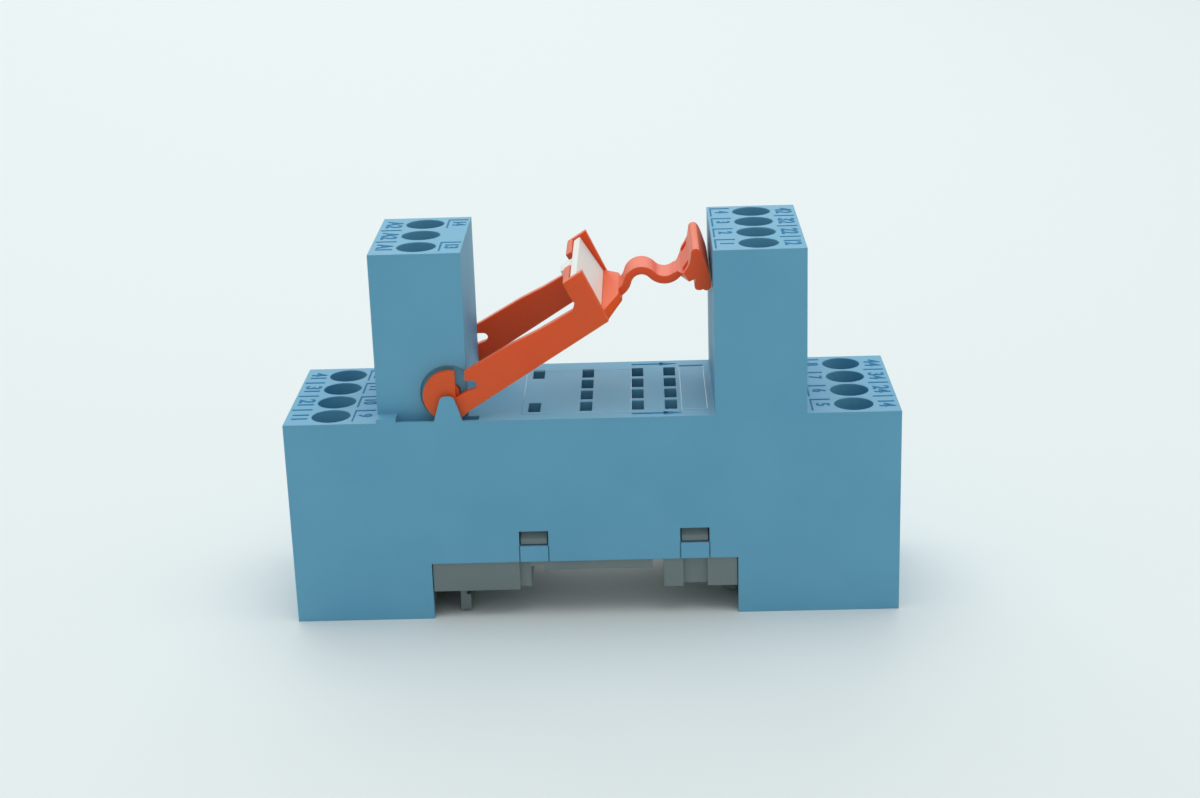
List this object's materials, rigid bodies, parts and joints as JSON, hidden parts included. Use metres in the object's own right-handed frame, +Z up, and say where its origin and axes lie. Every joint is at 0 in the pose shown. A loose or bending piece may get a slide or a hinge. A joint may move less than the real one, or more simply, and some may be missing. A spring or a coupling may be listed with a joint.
{
  "type": "relay socket",
  "caption": "Relay socket for a standard rail: long moulded body with terminal towers, a well with pin slots between them and a hinged clip that holds the relay.",
  "frame": {"origin": "middle of the housing's underside", "axes": "+X along the socket towards the right tower, which carries the row of four; +Y to the back; +Z up, away from the rail"},
  "size_m": [0.075, 0.0226, 0.0465],
  "materials": {
    "blue_plastic": "fine textured blue moulding, polished inside the relay well",
    "grey_plastic": "satin grey moulding",
    "orange_plastic": "satin orange moulding",
    "white_plastic": "plain white moulding",
    "contact_brass": "stamped and tinned strip",
    "plated_steel": "zinc plated"
  },
  "bodies": {
    "socket": {"housing": "blue_plastic", "base_plate": "grey_plastic", "com_contact_1": "contact_brass", "com_contact_2": "contact_brass", "com_contact_3": "contact_brass", "com_contact_4": "contact_brass", "no_contact_1": "contact_brass", "no_contact_2": "contact_brass", "no_contact_3": "contact_brass", "no_contact_4": "contact_brass", "nc_contact_1": "contact_brass", "nc_contact_2": "contact_brass", "nc_contact_3": "contact_brass", "nc_contact_4": "contact_brass", "coil_contact_a1": "contact_brass", "coil_contact_a2": "contact_brass"},
    "clip": {"retaining_clip": "orange_plastic", "marker_tag": "white_plastic"},
    "latch": {"rail_latch": "grey_plastic"},
    "terminal_com_1": {"com_screw_1": "plated_steel", "com_plate_1": "plated_steel"},
    "terminal_com_2": {"com_screw_2": "plated_steel", "com_plate_2": "plated_steel"},
    "terminal_com_3": {"com_screw_3": "plated_steel", "com_plate_3": "plated_steel"},
    "terminal_com_4": {"com_screw_4": "plated_steel", "com_plate_4": "plated_steel"},
    "terminal_no_1": {"no_screw_1": "plated_steel", "no_plate_1": "plated_steel"},
    "terminal_no_2": {"no_screw_2": "plated_steel", "no_plate_2": "plated_steel"},
    "terminal_no_3": {"no_screw_3": "plated_steel", "no_plate_3": "plated_steel"},
    "terminal_no_4": {"no_screw_4": "plated_steel", "no_plate_4": "plated_steel"},
    "terminal_nc_1": {"nc_screw_1": "plated_steel", "nc_plate_1": "plated_steel"},
    "terminal_nc_2": {"nc_screw_2": "plated_steel", "nc_plate_2": "plated_steel"},
    "terminal_nc_3": {"nc_screw_3": "plated_steel", "nc_plate_3": "plated_steel"},
    "terminal_nc_4": {"nc_screw_4": "plated_steel", "nc_plate_4": "plated_steel"},
    "terminal_coil_1": {"coil_screw_1": "plated_steel", "coil_plate_1": "plated_steel"},
    "terminal_coil_2": {"coil_screw_2": "plated_steel", "coil_plate_2": "plated_steel"},
    "terminal_coil_3": {"coil_screw_3": "plated_steel", "coil_plate_3": "plated_steel"}
  },
  "joints": [
    {"name": "clip_hinge", "type": "hinge", "parent": "socket", "child": "clip", "pos_m": [-0.0172, 0, 0.029], "axis": [0, -1, 0], "range_deg": [0, 65]},
    {"name": "latch_slide", "type": "slide", "parent": "socket", "child": "latch", "axis": [-1, 0, 0], "range_m": [0, 0.003], "stiffness_N_per_m": 800},
    {"name": "com_1_travel", "type": "slide", "parent": "socket", "child": "terminal_com_1", "axis": [0, 0, -1], "range_m": [0, 0.0025]},
    {"name": "com_2_travel", "type": "slide", "parent": "socket", "child": "terminal_com_2", "axis": [0, 0, -1], "range_m": [0, 0.0025]},
    {"name": "com_3_travel", "type": "slide", "parent": "socket", "child": "terminal_com_3", "axis": [0, 0, -1], "range_m": [0, 0.0025]},
    {"name": "com_4_travel", "type": "slide", "parent": "socket", "child": "terminal_com_4", "axis": [0, 0, -1], "range_m": [0, 0.0025]},
    {"name": "no_1_travel", "type": "slide", "parent": "socket", "child": "terminal_no_1", "axis": [0, 0, -1], "range_m": [0, 0.0025]},
    {"name": "no_2_travel", "type": "slide", "parent": "socket", "child": "terminal_no_2", "axis": [0, 0, -1], "range_m": [0, 0.0025]},
    {"name": "no_3_travel", "type": "slide", "parent": "socket", "child": "terminal_no_3", "axis": [0, 0, -1], "range_m": [0, 0.0025]},
    {"name": "no_4_travel", "type": "slide", "parent": "socket", "child": "terminal_no_4", "axis": [0, 0, -1], "range_m": [0, 0.0025]},
    {"name": "nc_1_travel", "type": "slide", "parent": "socket", "child": "terminal_nc_1", "axis": [0, 0, -1], "range_m": [0, 0.0025]},
    {"name": "nc_2_travel", "type": "slide", "parent": "socket", "child": "terminal_nc_2", "axis": [0, 0, -1], "range_m": [0, 0.0025]},
    {"name": "nc_3_travel", "type": "slide", "parent": "socket", "child": "terminal_nc_3", "axis": [0, 0, -1], "range_m": [0, 0.0025]},
    {"name": "nc_4_travel", "type": "slide", "parent": "socket", "child": "terminal_nc_4", "axis": [0, 0, -1], "range_m": [0, 0.0025]},
    {"name": "coil_1_travel", "type": "slide", "parent": "socket", "child": "terminal_coil_1", "axis": [0, 0, -1], "range_m": [0, 0.0025]},
    {"name": "coil_2_travel", "type": "slide", "parent": "socket", "child": "terminal_coil_2", "axis": [0, 0, -1], "range_m": [0, 0.0025]},
    {"name": "coil_3_travel", "type": "slide", "parent": "socket", "child": "terminal_coil_3", "axis": [0, 0, -1], "range_m": [0, 0.0025]}
  ]
}
